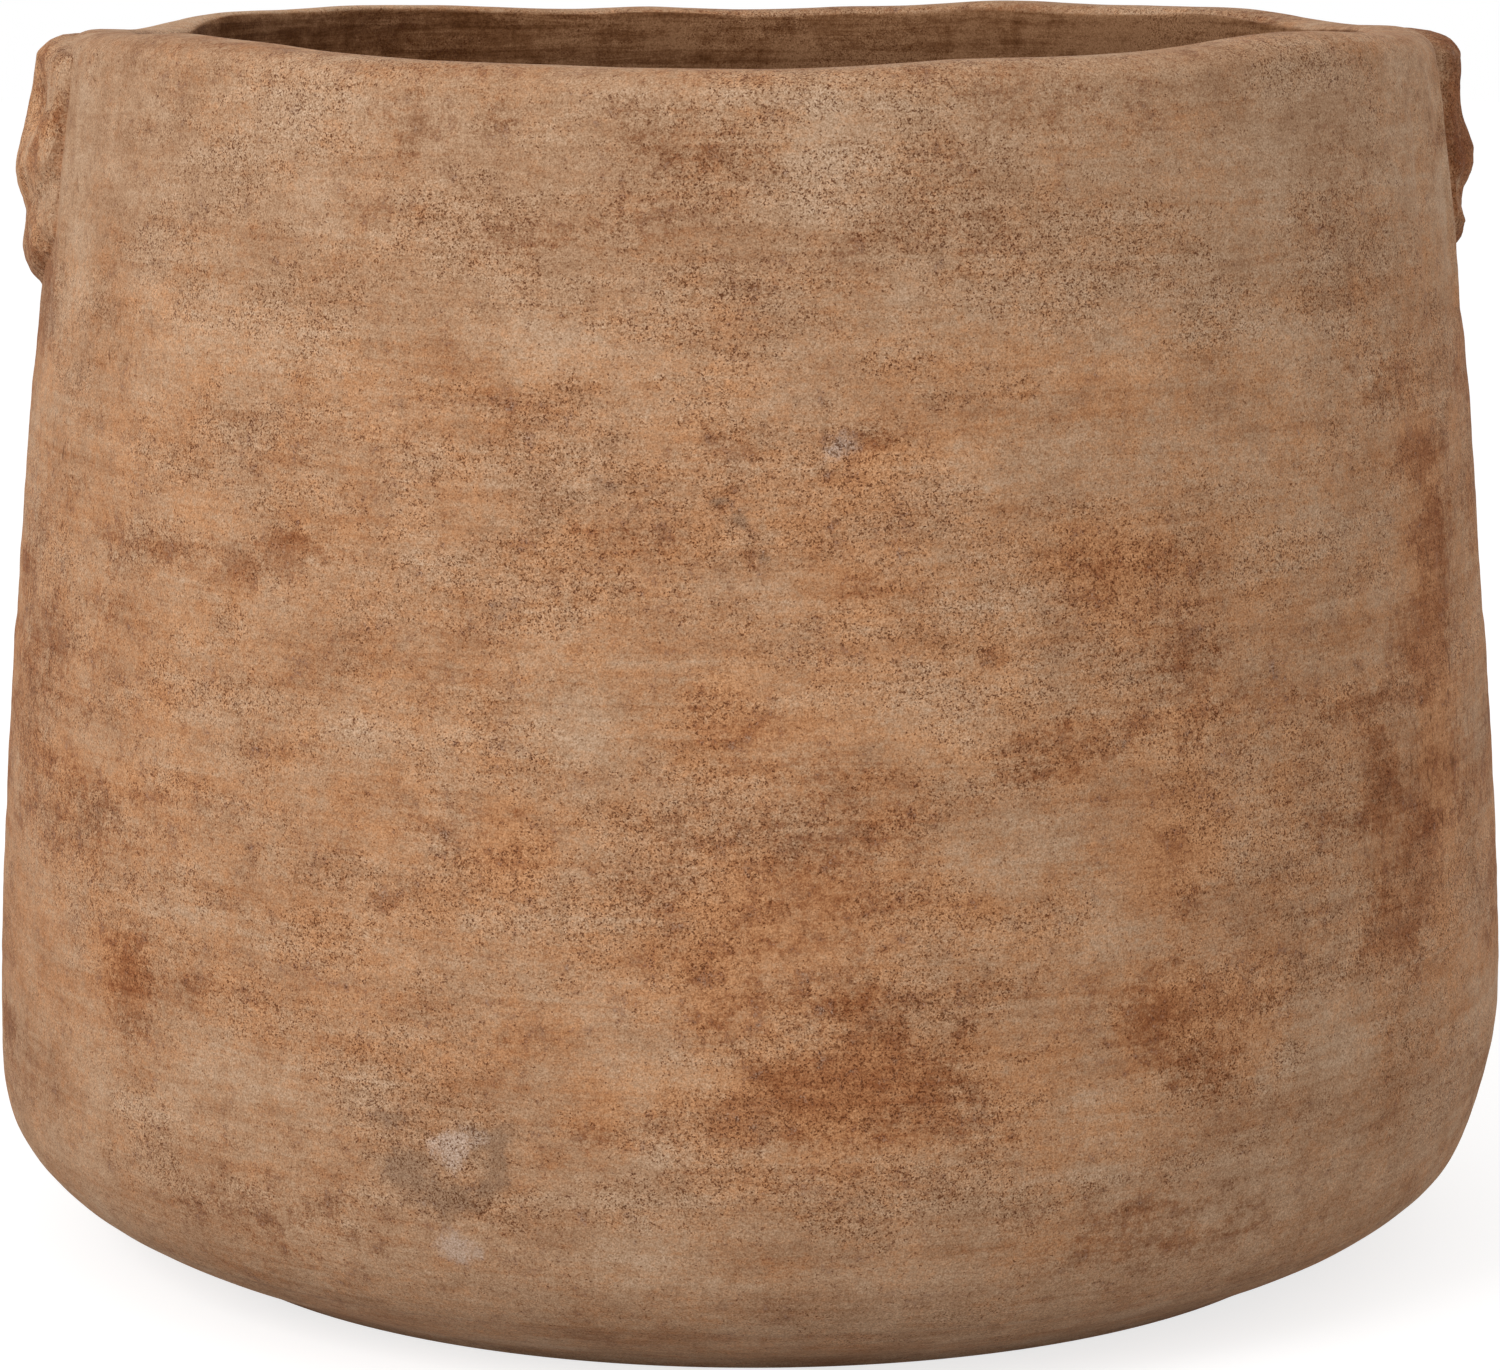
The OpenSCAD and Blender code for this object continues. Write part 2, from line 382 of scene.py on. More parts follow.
def outer_relief(points, azimuth, height):
    """How far the clay stands out of its plain section."""
    relief = layered(points, OUTER_LAYERS) + SWELL * bell(height, SWELL_Z, SWELL_REACH)
    over_bend = height + layered(points, COIL_BENDS)
    for joint_z, size, reach in COIL_STEPS:
        over = over_bend - joint_z
        relief -= size / 2 * np.tanh(over / COIL_SOFT) * np.exp(-np.abs(over) / reach)
    bends = layered(points, UPRIGHT_BENDS)
    for middle, width, low, high, size in UPRIGHTS:
        begins = smooth(low - UPRIGHT_SOFT_LOW, low + UPRIGHT_SOFT_LOW, height)
        stops = smooth(high + UPRIGHT_SOFT_HIGH, high - UPRIGHT_SOFT_HIGH, height)
        relief += size * bell(along_wall(azimuth, middle) + bends, 0, width) * begins * stops
    return relief - marks_at(azimuth, height)


# Tone of the clay

# Worn brown patches of the front: azimuth, height, half width, half height and strength
DARK = [
    (-35, 240, 18, 5, 0.7), (-44, 237, 44, 6, 0.5), (-50, 107, 12, 16, 0.75), (-40, 112, 21, 4, 0.3),
    (-18, 165, 21, 8, 0.35), (-16, 161, 4, 6, 0.35), (-10, 156, 6, 4, 0.35), (-6, 170, 11, 4, 0.25),
    (-7, 249, 18, 4, 0.3), (-11, 333, 30, 6, 0.2), (-24, 333, 32, 6, 0.2), (0, 316, 19, 4, 0.25),
    (-26, 363, 10, 8, 0.4), (-20, 365, 10, 6, 0.25), (-7, 363, 14, 10, 0.35), (-1, 355, 12, 6, 0.35),
    (20, 368, 14, 7, 0.35), (27, 366, 18, 8, 0.25), (16, 334, 11, 6, 0.4), (8, 336, 10, 4, 0.3),
    (6, 326, 6, 7, 0.25), (19, 322, 19, 14, 0.12), (53, 344, 45, 26, 0.15), (8.6, 273, 8, 7, 0.35),
    (-2, 274, 14, 11, 0.25), (-17, 286, 19, 4, 0.2), (29, 240, 25, 14, 0.32), (29, 217, 12, 11, 0.25),
    (33, 202, 14, 19, 0.4), (20, 188, 15, 8, 0.55), (26, 192, 20, 7, 0.4), (7, 236, 18, 6, 0.25),
    (-2, 202, 10, 8, 0.4), (0, 185, 36, 3, 0.3), (7, 170, 4, 3, 0.35), (30, 152, 16, 15, 0.25),
    (32, 114, 26, 11, 0.55), (32, 93, 24, 8, 0.4), (-1, 89, 18, 8, 0.6), (4, 97, 20, 10, 0.65),
    (8, 109, 12, 14, 0.6), (12, 95, 16, 10, 0.6), (-2, 119, 4, 3, 0.4), (15, 110, 4, 3, 0.4),
    (-10, 82, 9, 6, 0.25), (-16, 108, 4, 2, 0.25), (60, 203, 19, 13, 1), (51, 190, 24, 4, 0.8),
    (51, 167, 9, 15, 0.9), (57, 139, 12, 18, 0.8), (52, 125, 12, 12, 0.8), (63, 231, 14, 15, 0.9),
    (62, 259, 21, 6, 0.9), (57, 281, 13, 7, 0.5), (46, 157, 12, 3, 0.5), (55, 114, 9, 9, 0.6),
    (-63, 202, 21, 12, 0.35), (-55, 215, 8, 16, 0.35), (-48, 158, 36, 16, 0.25), (-63, 153, 34, 16, 0.25),
    (-66, 181, 39, 20, 0.2), (-38, 208, 6, 6, 0.25), (24, 51, 24, 11, 0.25), (16.5, 215, 3, 3, 0.9),
    (3, 150, 40, 45, 0.3), (-12, 350, 50, 14, 0.2), (14, 350, 30, 14, 0.15), (33, 45, 26, 14, 0.35),
    (-34, 48, 36, 12, 0.25), (10, 84, 50, 18, 0.2), (63, 165, 26, 40, 0.25),
    (-29, 149, 1.2, 2.4, 0.9), (-25, 145, 2.4, 1.8, 0.9), (-16, 172, 1.8, 1.5, 0.8), (-12, 252, 2, 1.5, 0.8),
]
# Smooth pale patches of wiped clay, in the same form
PALE = [
    (-14, 352, 18, 13, 0.55), (6, 362, 16, 19, 0.65), (-41, 298, 48, 12, 0.65), (-15, 301, 18, 11, 0.6),
    (-7, 298, 11, 6, 0.35), (13, 302, 36, 10, 0.6), (44, 300, 19, 17, 0.6), (43, 357, 11, 20, 0.55),
    (42, 252, 30, 16, 0.6), (17, 270, 22, 8, 0.6), (-42, 249, 26, 6, 0.45), (-12, 221, 19, 10, 0.55),
    (-12, 194, 17, 14, 0.6), (12, 196, 20, 10, 0.6), (17, 231, 11, 17, 0.45), (-44, 216, 13, 11, 0.35),
    (-42, 175, 17, 5, 0.45), (20, 161, 22, 8, 0.6), (25, 141, 13, 12, 0.6), (15, 155, 17, 4, 0.35),
    (-12, 169, 20, 10, 0.35), (-39, 138, 19, 13, 0.3), (-36, 89, 22, 8, 0.55), (-6, 101, 23, 6, 0.6),
    (-7, 46, 17, 12, 0.55), (46, 94, 19, 14, 0.65), (38, 99, 8, 7, 0.45), (24, 92, 14, 11, 0.45),
    (-23, 129, 22, 7, 0.25), (14, 135, 20, 7, 0.35), (-12, 271, 8, 13, 0.35), (-38, 352, 30, 10, 0.35),
    (-67, 342, 11, 36, 0.6), (-64, 312, 11, 24, 0.55), (74, 335, 11, 43, 0.6), (27, 285, 36, 30, 0.3),
    (-112, 378, 70, 8, 0.9), (-140, 378, 60, 6, 0.8), (38, 300, 34, 60, 0.27), (60, 330, 20, 40, 0.2),
]
# Areas of redder clay, and of greyer clay
WARM = [
    (4, 98, 32, 14, 0.8), (32, 112, 24, 14, 0.7), (31, 170, 14, 26, 0.6), (28, 236, 22, 14, 0.6),
    (61, 195, 14, 75, 0.9), (-52, 110, 14, 12, 0.6), (0, 137, 29, 22, 0.6), (0, 198, 30, 14, 0.5),
    (-17, 159, 9, 17, 0.6), (9, 164, 5, 17, 0.5), (8, 246, 17, 14, 0.4), (9, 268, 14, 7, 0.5),
    (26, 290, 17, 7, 0.5), (-10, 88, 13, 11, 0.5), (-48, 189, 7, 7, 0.6), (-61, 164, 47, 12, 0.35),
    (15, 146, 9, 4, 0.6), (30, 155, 17, 11, 0.6), (-16, 109, 8, 6, 0.4), (26, 243, 16, 11, 0.4),
    (10, 82, 55, 20, 0.5), (22, 44, 30, 12, 0.4),
]
COOL = [
    (-14, 262, 13, 8, 0.6), (-13, 195, 17, 12, 0.5), (21, 272, 12, 7, 0.5), (17, 165, 20, 8, 0.4),
    (-40, 265, 12, 17, 0.4), (-29, 184, 13, 8, 0.3), (-22, 354, 13, 11, 0.4), (46, 359, 30, 20, 0.5),
    (-58, 351, 72, 17, 0.35), (18, 34, 37, 11, 0.3), (-32, 91, 41, 9, 0.4), (44, 91, 22, 15, 0.4),
]
# Grey stains and spots, and pale salt among them, on the foot and in a chip
GREY = [
    (-24, 84, 5, 4, 0.6), (-23, 68, 9, 6, 1), (-17.5, 79, 7, 7, 1), (-16.3, 68, 4, 8, 0.9),
    (-19.5, 61, 12, 4, 0.9), (-18, 229, 6, 4, 0.5), (-2, 259, 2, 1.3, 1), (-1, 254, 1.6, 1.8, 1),
    (0, 246, 2, 1.3, 1), (-9, 263, 14, 0.8, 0.6),
]
SALT = [
    (-19.7, 76, 5.5, 5, 1), (-19.3, 71, 3, 4, 0.7), (-20, 49, 7, 5, 1), (-18, 50, 3, 2.5, 0.7),
    (6.9, 274, 4.5, 3.2, 0.65),
]
# Areas dragged upright, with long scratches
SCRATCHED = [
    (-68, 255, 30, 18, 1), (-62, 292, 44, 16, 0.8), (-71, 205, 12, 30, 0.8), (-66, 330, 16, 34, 0.5),
    (66, 250, 16, 40, 0.8), (62, 175, 28, 50, 1), (52, 135, 22, 26, 0.7), (70, 330, 26, 40, 0.5),
]
# How much darker the clay is at the handled crest of the rim, and the depths between which that fades in
CREST_DIRT = 0.15
DIRT_DEPTHS = (5, 0.5)
# How far down inside the pale clay of the lip ends and the darker inside with its painted shade begins,
# how soft that edge is and how it wanders
LIP_EDGE = 1.6
LIP_SOFT = 0.4
LIP_WANDER = [(0.4, 14, 41)]
# Where the pale lip reaches further down before the painted shade of the inside begins, and where the
# inside is paler, painted light at the back on the right where light falls into the pot: azimuth, amount and
# spread
DEEPER_LIP = (145, 1.4, 28)
PAINTED_LIGHT_INSIDE = (140, 0.6, 40)
# Half the front arc that the lists above describe, apart from two pale patches on the lip at the back
FRONT_ARC = 72
# Patches on the rest of the pot: heights, shares of the full size, and shares of the strength before squaring
PATCH_HEIGHTS = (30, 370)
PATCH_SIZES = (0.2, 1)
PATCH_FORCES = (0.4, 1)
# Where a patch has faded out and where it is full, in its half sizes
PATCH_EDGE = (1.7, 0.2)
# How patches wander along the wall and in height, in layers of noise
SIDE_WANDER = [(7, 26, 21), (3.5, 9, 22)]
HEIGHT_WANDER = [(3.5, 22, 23), (2, 8, 24)]
# Heights between which the clay gets redder from the foot up, and greyer again towards the rim
RED_FROM = (55, 110)
RED_TO = (335, 275)
# Stretches of wall beside the lugs: azimuth and spread in degrees
BESIDE_LUGS = [(-80, 17), (92, 20)]
# Heights over which the clay gets dragged upright there, and rubbed there and at the foot
UPRIGHT_FROM = (270, 310)
RUBBED_FROM = (290, 320)
RUBBED_FOOT = (62, 38)


def scattered(count, half_w, half_h, strength):
    """Patches like those of the front for the rest of the pot."""
    patches = []
    for _ in range(count):
        azimuth, height = rng.uniform(FRONT_ARC, 360 - FRONT_ARC), rng.uniform(*PATCH_HEIGHTS)
        wide, tall = rng.uniform(*PATCH_SIZES, 2)
        force = strength * rng.uniform(*PATCH_FORCES) ** 2
        patches.append((azimuth, height, half_w * wide, half_h * tall, force))
    return patches


DARK += scattered(count=130, half_w=44, half_h=18, strength=0.8)
PALE += scattered(count=80, half_w=40, half_h=18, strength=0.8)
WARM += scattered(count=26, half_w=40, half_h=24, strength=0.7)
COOL += scattered(count=22, half_w=40, half_h=20, strength=0.6)
SCRATCHED += scattered(count=8, half_w=24, half_h=36, strength=0.8)


def patches_at(place, patches):
    """Soft mask of patches at places along the wall, where overlapping ones add up towards 1."""
    azimuth, shift, height = place
    left = np.ones(height.shape)
    for middle, z, half_w, half_h, strength in patches:
        far = np.hypot((along_wall(azimuth, middle) + shift) / half_w, (height - z) / half_h)
        left *= 1 - strength * smooth(*PATCH_EDGE, far)
    return 1 - left


def tones(points, azimuth, height, outside):
    """Named masks over a grid of points. Tone runs from pale, -1, to dark, 1, and warmth from grey to red."""
    place = azimuth, layered(points, SIDE_WANDER), height + layered(points, HEIGHT_WANDER)
    dark, pale, warm, cool = (patches_at(place, patches) for patches in (DARK, PALE, WARM, COOL))
    red = smooth(*RED_FROM, height) * smooth(*RED_TO, height)
    near_lug = np.max([bell(turn(azimuth - middle), 0, spread) for middle, spread in BESIDE_LUGS], axis=0)
    masks = {
        # Painted shade: pits, chips and cracks are darker by half their depth
        "tone": dark - 0.8 * pale + 0.5 * marks_at(azimuth, height),
        "warmth": warm - cool - 0.5 * (1 - red) + 0.3 * dark * red,
        "grey": patches_at(place, GREY),
        "salt": patches_at(place, SALT),
        "upright": near_lug * smooth(*UPRIGHT_FROM, height),
        "rubbed": np.maximum(smooth(*RUBBED_FOOT, height), 0.7 * near_lug * smooth(*RUBBED_FROM, height)),
        "scratched": patches_at(place, SCRATCHED),
    }
    return {name: outside * mask for name, mask in masks.items()} | {"inside": 1 - outside}


# Meshes

def grid_faces(rows, columns, wrap_columns=True):
    """Quads between neighbouring points of a grid whose rows form a loop."""
    row = np.arange(rows)[:, None]
    column = np.arange(columns if wrap_columns else columns - 1)[None, :]
    next_row = (row + 1) % rows
    next_column = (column + 1) % columns
    corners = [row * columns + column, row * columns + next_column]
    corners += [next_row * columns + next_column, next_row * columns + column]
    return np.stack([np.broadcast_to(c, (rows, column.size)) for c in corners], axis=-1).reshape(-1, 4)


SHARP_ANGLE = math.radians(48)


def make_piece(node, points, faces, masks, material):
    """Mesh object that stands for a node of the frame."""
    mesh = bpy.data.meshes.new(node + "_clay")
    mesh.from_pydata((points.reshape(-1, 3) * MM).tolist(), [], faces.tolist())
    for name, mask in masks.items():
        layer = mesh.attributes.new(name, "FLOAT", "POINT")
        layer.data.foreach_set("value", np.ascontiguousarray(mask, np.float32).ravel())
    mesh.shade_smooth()
    mesh.set_sharp_from_angle(angle=SHARP_ANGLE)
    mesh.materials.append(material)
    piece = bpy.data.objects.new(node + "_clay", mesh)
    bpy.context.collection.objects.link(piece)
    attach(piece, "root")
    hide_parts(node)


def joint_rows(edge, key_middle, key_r):
    """Rows of a joint's half-round key at an edge's height, from the outside in, or none without a key."""
    if key_middle is None:
        return np.empty((0, COLUMNS, 3))
    z = edge[:, 2].mean()
    angles = np.linspace(0, math.pi, KEY_ROWS)
    places = [(key_middle + key_r * math.cos(a), z - key_r * math.sin(a)) for a in angles]
    return np.array([at(AZIMUTHS, radius, height) for radius, height in places])


def base_rows():
    """Wall of the drain hole and the flat base, from the floor's hole out to the edge of the flat."""
    drain = [at(AZIMUTHS, DRAIN_R, z) for z in np.linspace(FLOOR_T, 0, DRAIN_ROWS)[1:]]
    base = [at(AZIMUTHS, r, 0) for r in np.linspace(DRAIN_R, BASE_R, BASE_ROWS)[1:-1]]
    return np.array(drain + base)


def blank(rows):
    """Empty mask for rows that lie hidden in a joint or under the pot."""
    return np.zeros(rows.shape[:2])


def middle_r(z):
    """Middle of the wall's thickness."""
    return (wall_r(z) + inner_r(z)) / 2


def pale_lip(plain, azimuth, depth):
    """1 on the pale clay of the lip, and 0 below the edge where the darker inside, darker clay with painted
    shade, begins.
    """
    middle, reach, spread = DEEPER_LIP
    edge = depth - LIP_EDGE - reach * bell(turn(azimuth - middle), 0, spread)
    edge += DARK_RAISED * thin_lip(azimuth) + layered(plain, LIP_WANDER)
    return smooth(LIP_SOFT, -LIP_SOFT, edge)


def shaped_skin(plain, azimuth, radius, height, outside):
    """The plain skin with its relief, its leaning foot and the lumps on its crest."""
    relief = outside * outer_relief(plain, azimuth, height) * smooth(0, GROUND_FADE, height)
    relief += (1 - outside) * layered(plain, INNER_LAYERS)
    relief *= smooth(DRAIN_R, DRAIN_R + DRAIN_FADE, radius)
    skin = plain + grid_normals(plain) * relief[..., None]
    for lean, z, reach in LEANS:
        skin[..., 0] -= lean * outside * bell(height, z, reach)
    near_crest = smooth(LUMP_DEPTH, 0, crest_z(azimuth) - height)
    for middle, lift, spread in CREST_LUMPS:
        skin[..., 2] += lift * bell(turn(azimuth - middle), 0, spread) * near_crest
    return skin


def skin_masks(plain, azimuth, height, outside):
    """The masks of the skin, with dirt on its crest and painted light on the paler part of its inside."""
    masks = tones(plain, azimuth, height, outside)
    masks["tone"] += CREST_DIRT * outside * smooth(*DIRT_DEPTHS, crest_z(azimuth) - height)
    # Painted light: the inside is paler at the back on the right, where light falls into the pot
    middle, amount, spread = PAINTED_LIGHT_INSIDE
    masks["tone"] -= amount * (1 - outside) * bell(turn(azimuth - middle), 0, spread)
    return masks


def build_pot(body_clay, rim_clay):
    """The floor slab, the rings and the rim roll, cut from one continuous skin."""
    radius, height, stretches = pot_skin()
    azimuth = np.broadcast_to(AZIMUTHS, radius.shape)
    plain = at(azimuth, radius, height)
    rim = stretches["rim_roll"]
    past_crest = np.arange(len(radius))[:, None] >= rim.start + np.argmax(height[rim, 0])
    outside = np.where(past_crest, pale_lip(plain, azimuth, crest_z(azimuth) - height), 1)
    skin = shaped_skin(plain, azimuth, radius, height, outside)
    masks = skin_masks(plain, azimuth, height, outside)

    foot_key = inner_r(BELLY_Z) - CORNER_R / 2
    keys = [None, foot_key, middle_r(FOOT_TOP), middle_r(BELLY_TOP), middle_r(MIDDLE_TOP), None]
    for node, bead, groove in zip(WALL_NODES, keys, keys[1:]):
        outer, inner = stretches[node + "_out"], stretches[node + "_in"]
        top = joint_rows(skin[outer][-1], groove, KEY_R + SLIP)
        bottom = base_rows() if node == "floor_slab" else joint_rows(skin[inner][-1], bead, KEY_R)[::-1]
        loop = np.concatenate([skin[outer], top, skin[inner], bottom])
        loop_masks = {
            name: np.concatenate([mask[outer], blank(top), mask[inner], blank(bottom)])
            for name, mask in masks.items()
        }
        make_piece(node, loop, grid_faces(len(loop), COLUMNS), loop_masks, body_clay)
    rim_masks = {name: mask[rim] for name, mask in masks.items()}
    make_piece("rim_roll", skin[rim], grid_faces(len(skin[rim]), COLUMNS), rim_masks, rim_clay)


# Lugs

# Width along the rim, mesh spacing, and how deep the feathered edges sink into the wall
LUG_W = 86
LUG_STEP = 0.8
LUG_EDGE_SINK = 1
# Fullness across the lug, how much its folds draw up towards its ends, and how far these lie under the crest
LUG_POWER = 0.55
LUG_BEND = 0.4
LUG_ROUND = 6
# Finger dents: place across the lug, depth under the crest, radius and depth
FINGER_DENTS = [(-0.44, 24, 9, 3), (0.42, 22, 11, 4.5)]
# Thickness below which thin clay eases them
DENT_FADE = 6
# Roughness of the lug's clay, and the wobble of its outline, in layers of noise
LUG_ROUGH = [(0.4, 9, 31), (0.15, 4, 32), (0.05, 2.2, 33)]
LUG_WOBBLE = [(0.18, 24, 36), (0.08, 9, 37)]
# Thickness at which the lug's own roughness, and its own colour, have taken over from the wall's
LUG_COVER = 4
LUG_BODY = 9
LUG_BODY_WANDER = [(3, 11, 38)]
# Blotches of its tone, and painted light and shade that follow its relief: how much paler it gets for each
# millimetre over the usual thickness, and darker in its thinner creases and dents
LUG_BLOTCHES = [(1.1, (14, 14, 24), 34), (0.8, 5, 35)]
LUG_RELIEF_SHADING = 0.12
LUG_USUAL_H = 8
# Places across the lug between which its stain, also painted shade on the right lug, fades in, and the
# warmth and the rubbing of its clay
STAIN_AND_SHADE_ACROSS = (0.7, -0.5)
LUG_WARMTH = 0.35
LUG_RUBBED = -0.5
# Points at which a line of folds is worked out
FOLD_POINTS = 400
# Azimuth of each lug, and how dark its stain is, which on the right lug is also painted shade of a lug
# turned away from the light
LEFT_AZIMUTH = -85
LEFT_STAIN = 0.4
RIGHT_AZIMUTH = 97
RIGHT_STAIN_AND_SHADE = 1.7
# Depth under the crest, and how far the lug stands out from the wall there
LEFT_FOLDS = [
    (0, 0), (1.5, 4.2), (3, 6.4), (7, 8.8), (24, 9.8), (38, 11.4), (43.5, 11.7), (47.5, 10.6), (52, 8.4),
    (56.5, 7), (62, 7), (67, 7), (71, 6), (75, 3.8), (78, 1.4), (81, 0),
]
RIGHT_FOLDS = [
    (0, 0), (1.5, 8), (3, 10.2), (7, 12), (20, 11.8), (31, 12.8), (40, 13.8), (45.5, 13), (48, 12),
    (50.5, 10.6), (53.5, 8.6), (57, 7.6), (61.5, 6.6), (65.5, 7.2), (68.5, 8), (70.5, 6.6), (73, 4),
    (76, 1), (78, 0),
]


def fold_line(folds):
    """Depths under the crest at close even steps, and how far the lug stands out there."""
    depths, stands = np.array(folds, float).T
    fine = np.linspace(0, depths[-1], FOLD_POINTS)
    return fine, np.interp(fine, depths, stands)


def lug_face(plain, across, depth, folds):
    """How far a lug stands out from the wall, with its folds, its thin ends and its finger dents."""
    wobble = layered(plain, LUG_WOBBLE)
    swell = np.cos(math.pi / 2 * np.clip(across * (1 + wobble), -1, 1)) ** LUG_POWER
    under_top = depth - LUG_ROUND * across**2
    drawn_up = 1 + (LUG_BEND + wobble) * across**2
    face = np.interp(under_top * drawn_up, *fold_line(folds), right=0) * swell
    for place, under, radius, dent in FINGER_DENTS:
        far = np.hypot((across - place) * LUG_W / 2, depth - under)
        face = face - dent * bell(far, 0, radius) * smooth(0, DENT_FADE, face)
    return face


def lug_masks(plain, azimuth, across, height, face, stain):
    """The wall's masks along a lug's feathered edge, and those of its own blotchy clay on its body, with
    painted light on its thick parts, painted shade in its creases and dents, and its stain, which is also
    painted shade on the right lug.
    """
    masks = tones(plain, azimuth, height, np.ones_like(height))
    tone = sum(strength * cloud(plain, size, seed) for strength, size, seed in LUG_BLOTCHES)
    # Painted shade and light: the stain is also painted shade on the right lug, and thin clay in creases and
    # dents is painted darker, thick clay paler
    tone += stain * smooth(*STAIN_AND_SHADE_ACROSS, across) - LUG_RELIEF_SHADING * (face - LUG_USUAL_H)
    body = smooth(0, LUG_BODY, face + layered(plain, LUG_BODY_WANDER))
    for name, own in {"tone": tone, "warmth": LUG_WARMTH, "rubbed": LUG_RUBBED}.items():
        masks[name] = masks[name] * (1 - body) + own * body
    return masks


def shell_faces(rows, columns):
    """Faces of a shell whose rows run down its front and back up behind it, with its two narrow ends."""
    ends = []
    for i in range(rows // 2 - 1):
        a, b, c, d = (k * columns for k in (i, i + 1, rows - 2 - i, rows - 1 - i))
        ends.append((a, b, c, d))
        ends.append(tuple(k + columns - 1 for k in (d, c, b, a)))
    return np.concatenate([grid_faces(rows, columns, wrap_columns=False), np.array(ends)])


def build_lug(node, middle, folds, stain, material):
    """A pinched ear of clay: rows down its face and back up inside the wall, columns across it."""
    low = folds[-1][0]
    downs = np.linspace(0, low, round(low / LUG_STEP))
    depth, across = np.meshgrid(downs, np.linspace(-1, 1, round(LUG_W / LUG_STEP)), indexing="ij")
    azimuth = middle + math.degrees(LUG_W / 2 / wall_r(POT_H)) * across
    height = crest_z(azimuth) - depth
    plain = at(azimuth, outside_r(azimuth, depth), height)
    # Rows run down here, which turns the grid's normals inwards
    normal = -grid_normals(plain, closed=False)
    wall = plain + normal * outer_relief(plain, azimuth, height)[..., None]
    face = lug_face(plain, across, depth, folds)
    cover = smooth(0, LUG_COVER, face)
    lift = face + layered(plain, LUG_ROUGH) * cover
    sink = LUG_EDGE_SINK * (1 - cover)
    front = wall + at(azimuth, 1, 0) * lift[..., None] - normal * sink[..., None]
    back = wall - normal * 2 * LUG_EDGE_SINK
    loop = np.concatenate([front, back[::-1]])
    masks = lug_masks(plain, azimuth, across, height, face, stain)
    masks = {name: np.concatenate([mask, np.zeros_like(mask)]) for name, mask in masks.items()}
    make_piece(node, loop, shell_faces(*loop.shape[:2]), masks, material)


# Materials

class Shader:
    """Short names for the nodes of a material or of the world."""

    def __init__(self, owner):
        owner.use_nodes = True
        self.tree = owner.node_tree
        self.tree.nodes.clear()
        self.place = self.add("ShaderNodeTexCoord").outputs["Object"]

    def add(self, kind, inputs=None, **settings):
        """A new node, with each input linked to a socket or set to a value."""
        node = self.tree.nodes.new(kind)
        for name, value in settings.items():
            setattr(node, name, value)
        for name, value in (inputs or {}).items():
            if isinstance(value, bpy.types.NodeSocket):
                self.tree.links.new(value, node.inputs[name])
            else:
                node.inputs[name].default_value = value
        return node

    def mask(self, name):
        """A mask that the mesh carries."""
        return self.add("ShaderNodeAttribute", attribute_name=name).outputs["Fac"]

    def noise(self, size, detail=2, rough=0.5, stretch=(1, 1, 1), warp=0):
        """Noise about 0.5 with cells of the given size in millimetres, stretched along each axis.
        Its spread is about the same for any detail and roughness."""
        scale = tuple(1 / s for s in stretch)
        place = self.add("ShaderNodeMapping", {"Vector": self.place, "Scale": scale}).outputs[0]
        inputs = {"Vector": place, "Scale": 1 / (size * MM), "Distortion": warp}
        inputs |= {"Detail": detail, "Roughness": rough}
        plain = self.add("ShaderNodeTexNoise", inputs).outputs["Fac"]
        octaves = rough ** np.arange(detail + 1)
        gain = float(octaves.sum() / np.sqrt((octaves**2).sum()))
        return self.math("MULTIPLY_ADD", plain, gain, (1 - gain) / 2)

    def grains(self, size):
        """A random value for each grain of about the given size in millimetres."""
        inputs = {"Vector": self.place, "Scale": 1 / (size * MM)}
        return self.add("ShaderNodeTexVoronoi", inputs).outputs["Color"]

    def dots(self, size, radius):
        """Round dots, one in each cell of the given size, with random radii up to the given share of it."""
        cell = self.add("ShaderNodeTexVoronoi", {"Vector": self.place, "Scale": 1 / (size * MM)})
        over = self.math("MULTIPLY_ADD", cell.outputs["Color"], -radius, cell.outputs["Distance"])
        return self.step(0, -radius / 3, over)

    def math(self, operation, a, b=0.0, c=0.0):
        """Result of an operation on up to three values."""
        return self.add("ShaderNodeMath", {0: a, 1: b, 2: c}, operation=operation).outputs[0]

    def step(self, low, high, value, to_low=0.0, to_high=1.0):
        """Smooth step of a value, between two results."""
        inputs = {"Value": value, "From Min": low, "From Max": high, "To Min": to_low, "To Max": to_high}
        return self.add("ShaderNodeMapRange", inputs, interpolation_type="SMOOTHSTEP").outputs[0]

    def mix(self, share, a, b, blend="MIX"):
        """Colour between a and b, or another blend of the two."""
        node = self.add("ShaderNodeMix", {0: share, 6: a, 7: b}, data_type="RGBA", blend_type=blend)
        return node.outputs[2]

    def blend(self, share, a, b):
        """Value between a and b."""
        return self.add("ShaderNodeMix", {0: share, 2: a, 3: b}).outputs[0]

    def total(self, *terms):
        """Sum of values, each times its weight."""
        result = 0.0
        for value, weight in terms:
            if isinstance(value, bpy.types.NodeSocket):
                result = self.math("MULTIPLY_ADD", value, weight, result)
            else:
                result = self.math("ADD", result, value * weight)
        return result

    def ramp(self, value, stops):
        """Colour along a scale of stops."""
        node = self.add("ShaderNodeValToRGB", {"Fac": value})
        points = node.color_ramp.elements
        while len(points) < len(stops):
            points.new(1)
        for point, (place, colour) in zip(points, stops):
            point.position = place
            point.color = colour
        return node.outputs["Color"]


def rgb(red, green, blue):
    """Opaque colour."""
    return (red, green, blue, 1)


